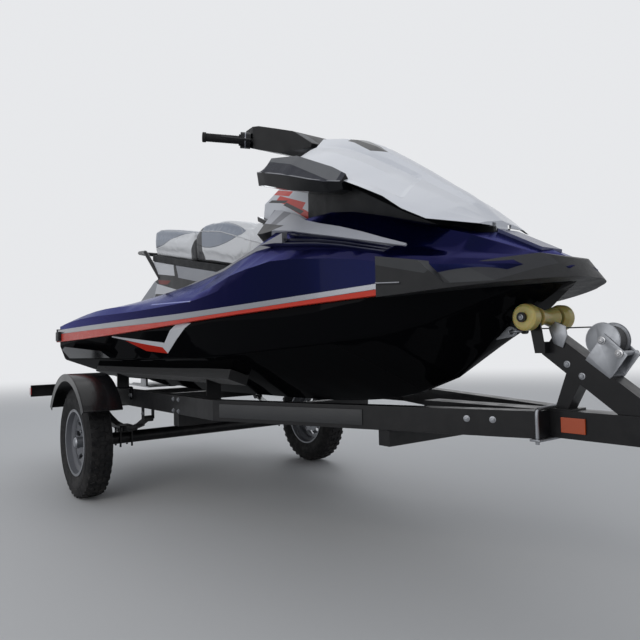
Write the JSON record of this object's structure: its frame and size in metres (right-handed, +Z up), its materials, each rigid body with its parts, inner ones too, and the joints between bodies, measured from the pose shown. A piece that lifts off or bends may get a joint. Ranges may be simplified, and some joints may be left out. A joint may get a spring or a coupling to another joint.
{
  "type": "personal watercraft",
  "caption": "Sit-down personal watercraft strapped to its low bunk trailer, with jet pump, opening hood, steering bars, boarding step, bow roller, winch and swing-up jack.",
  "frame": {"origin": "on the ground, midway along the whole length, on the centreline", "axes": "+X forward along the craft and the trailer's tongue, +Y to port, +Z up"},
  "size_m": [4.353, 1.564, 1.656],
  "materials": {
    "hull_gloss": "gloss",
    "deck_navy": "metallic gloss",
    "rail_red": "satin",
    "silver_trim": "metallic satin",
    "black_trim": "matte",
    "gloss_black": "gloss",
    "panel_grey": "satin",
    "hood_white": "gloss",
    "seat_vinyl": "grained",
    "mat_rubber": "matte",
    "grip_rubber": "matte",
    "engine_iron": "cast",
    "pump_alloy": "cast",
    "steel": "brushed",
    "zinc": "zinc plated",
    "bar_black": "satin",
    "frame_black": "satin",
    "fender_black": "gloss",
    "rim_grey": "satin",
    "tyre": "matte",
    "carpet": "carpet",
    "strap_web": "woven",
    "roller_amber": "satin",
    "lamp_red": "gloss",
    "marker_amber": "gloss",
    "mirror": "polished",
    "steel_black": "satin"
  },
  "bodies": {
    "craft_and_trailer": {"hull": "hull_gloss", "deck": "deck_navy", "engine": "engine_iron", "deck_mats": "mat_rubber", "rail_lower": "rail_red", "rail_cap": "silver_trim", "bumpers": "black_trim", "sponsons": "gloss_black", "pedestal": "panel_grey", "seat_band": "black_trim", "seat_rear": "seat_vinyl", "seat_front": "seat_vinyl", "grab_handle": "steel_black", "console": "hood_white", "gauge": "black_trim", "front_cowl": "black_trim", "side_fairings": "silver_trim", "side_vents": "black_trim", "deck_trim": "silver_trim", "pump_housing": "pump_alloy", "ride_plate": "pump_alloy", "transom_fittings": "steel", "side_rails": "frame_black", "draw_rails": "frame_black", "tongue": "frame_black", "coupler": "frame_black", "crossmembers": "frame_black", "bunks": "carpet", "bunk_brackets": "frame_black", "fenders": "fender_black", "side_markers": "marker_amber", "tail_lights": "lamp_red", "axle": "frame_black", "springs": "steel_black", "winch_post": "frame_black", "winch": "zinc", "winch_strap": "strap_web", "bow_hook": "zinc"},
    "hood_lid": {"hood": "hood_white", "mirror_shells": "gloss_black", "mirror_glass": "mirror"},
    "glove_cover": {"glove_lid": "black_trim"},
    "steering": {"handlebar": "bar_black", "grips": "grip_rubber", "controls": "black_trim"},
    "impeller_rotor": {"impeller": "steel"},
    "nozzle": {"steering_nozzle": "pump_alloy"},
    "bucket": {"reverse_bucket": "pump_alloy"},
    "rear_step": {"boarding_step": "steel"},
    "wheel_left": {"rim_left": "rim_grey", "tyre_left": "tyre"},
    "wheel_right": {"rim_right": "rim_grey", "tyre_right": "tyre"},
    "roller": {"bow_roller": "roller_amber"},
    "jack_leg": {"jack": "zinc"},
    "jack_roller": {"jack_wheel": "black_trim"}
  },
  "joints": [
    {"name": "steering_turn", "type": "hinge", "parent": "craft_and_trailer", "child": "steering", "pos_m": [-0.0035, 0, 1.45], "axis": [-0.5299, 0, 0.848], "range_deg": [-20, 20]},
    {"name": "nozzle_turn", "type": "hinge", "parent": "craft_and_trailer", "child": "nozzle", "pos_m": [-1.9165, 0, 0.595], "axis": [0, 0, 1], "range_deg": [-20, 20]},
    {"name": "bucket_tilt", "type": "hinge", "parent": "craft_and_trailer", "child": "bucket", "pos_m": [-1.9465, 0, 0.64], "axis": [0, -1, 0], "range_deg": [0, 60]},
    {"name": "impeller_spin", "type": "hinge", "parent": "craft_and_trailer", "child": "impeller_rotor", "pos_m": [-1.6835, 0, 0.595], "axis": [1, 0, 0], "continuous": true},
    {"name": "hood_open", "type": "hinge", "parent": "craft_and_trailer", "child": "hood_lid", "pos_m": [0.9115, 0, 1.057], "axis": [0, 1, 0], "range_deg": [0, 45]},
    {"name": "glove_lid_open", "type": "hinge", "parent": "craft_and_trailer", "child": "glove_cover", "pos_m": [-0.02665, 0, 1.43698], "axis": [0, 1, 0], "range_deg": [0, 45]},
    {"name": "step_fold", "type": "hinge", "parent": "craft_and_trailer", "child": "rear_step", "pos_m": [-2.1645, 0, 0.625], "axis": [0, -1, 0], "range_deg": [0, 160]},
    {"name": "wheel_left_spin", "type": "hinge", "parent": "craft_and_trailer", "child": "wheel_left", "pos_m": [-1.0335, 0.69, 0.2665], "axis": [0, 1, 0], "continuous": true},
    {"name": "wheel_right_spin", "type": "hinge", "parent": "craft_and_trailer", "child": "wheel_right", "pos_m": [-1.0335, -0.69, 0.2665], "axis": [0, 1, 0], "continuous": true},
    {"name": "roller_spin", "type": "hinge", "parent": "craft_and_trailer", "child": "roller", "pos_m": [1.0515, 0, 0.776], "axis": [0, 1, 0], "continuous": true},
    {"name": "jack_swing", "type": "hinge", "parent": "craft_and_trailer", "child": "jack_leg", "pos_m": [1.7665, 0.09, 0.477], "axis": [0, 1, 0], "range_deg": [0, 90]},
    {"name": "jack_wheel_spin", "type": "hinge", "parent": "jack_leg", "child": "jack_roller", "pos_m": [1.7665, 0.112, 0.076], "axis": [0, 1, 0], "continuous": true}
  ],
  "couplings": [
    {"joint": "nozzle_turn", "follows": "steering_turn", "ratio": -1}
  ]
}
